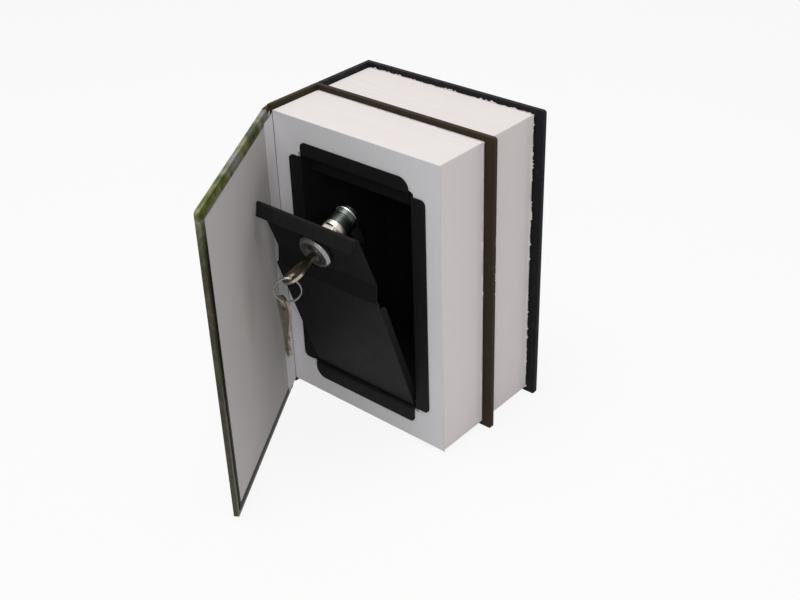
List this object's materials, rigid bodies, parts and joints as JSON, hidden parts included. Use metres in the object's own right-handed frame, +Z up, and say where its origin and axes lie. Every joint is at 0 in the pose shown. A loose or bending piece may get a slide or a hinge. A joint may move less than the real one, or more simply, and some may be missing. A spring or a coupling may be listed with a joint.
{
  "type": "book diversion safe",
  "caption": "Double book hiding a steel box behind its hinged front cover; the box has a bottom-hinged lockable door with a cam lock and two keys on a split ring",
  "frame": {"origin": "bottom centre of the olive board between the two books, where it stands on a shelf", "axes": "+Z up, -Y the front with the opening cover and the safe's door, +X from the spine to the fore-edge"},
  "size_m": [0.165, 0.2518, 0.24],
  "materials": {
    "pages": "cut edges of a block of paper",
    "endpaper": "uncoated white paper",
    "greyboard": "grey binder's board",
    "olive_cloth": "olive brown book cloth",
    "black_cloth": "black book cloth",
    "cover_print": "printed cover paper, mottled greens and creams",
    "black_steel": "black powder coat",
    "nickel": "nickel plating",
    "steel": "zinc plated steel",
    "key_metal": "nickel-washed brass"
  },
  "bodies": {
    "safe": {"front_page_block": "pages", "rear_page_block": "pages", "front_flyleaf": "endpaper", "middle_pastedown": "endpaper", "divider_endpaper": "endpaper", "rear_pastedown": "endpaper", "front_spine_board": "greyboard", "middle_board": "greyboard", "front_case_cloth": "olive_cloth", "rear_spine_board": "greyboard", "rear_cover_board": "greyboard", "rear_case_cloth": "black_cloth", "box_shell": "black_steel", "box_back": "black_steel", "latch_channel": "black_steel", "hinge_pin_left": "steel", "hinge_pin_right": "steel"},
    "cover": {"front_cover_board": "greyboard", "front_cover_cloth": "cover_print", "front_pastedown": "endpaper"},
    "door": {"door_panel": "black_steel", "lock_barrel": "nickel", "lock_washer": "steel", "lock_nut": "nickel"},
    "plug": {"lock_plug": "nickel", "lock_cam": "steel", "cam_screw": "steel", "key_in_lock": "key_metal"},
    "ring": {"key_ring": "nickel"},
    "spare": {"spare_key": "key_metal"}
  },
  "joints": [
    {"name": "cover_hinge", "type": "hinge", "parent": "safe", "child": "cover", "pos_m": [-0.08115, -0.0509, 0.12], "axis": [0, 0, -1], "range_deg": [-30, 113.5]},
    {"name": "door_hinge", "type": "hinge", "parent": "safe", "child": "door", "pos_m": [-0.00225, -0.046, 0.0363], "axis": [1, 0, 0], "range_deg": [-18.4, 69.6]},
    {"name": "plug_turn", "type": "hinge", "parent": "door", "child": "plug", "pos_m": [-0.00325, -0.08734, 0.16556], "axis": [0, -0.9311, -0.3649], "range_deg": [0, 180]},
    {"name": "ring_swing", "type": "hinge", "parent": "plug", "child": "ring", "pos_m": [-0.00343, -0.11422, 0.15493], "axis": [1, 0, 0], "range_deg": [-69.7, 18.5]},
    {"name": "spare_key_swing", "type": "hinge", "parent": "ring", "child": "spare", "pos_m": [-0.00813, -0.11823, 0.13697], "axis": [0.7604, 0.6494, 0], "range_deg": [-5, 30]}
  ],
  "couplings": [
    {"joint": "door_hinge", "follows": "cover_hinge", "ratio": 0.6132},
    {"joint": "ring_swing", "follows": "cover_hinge", "ratio": -0.6132}
  ]
}
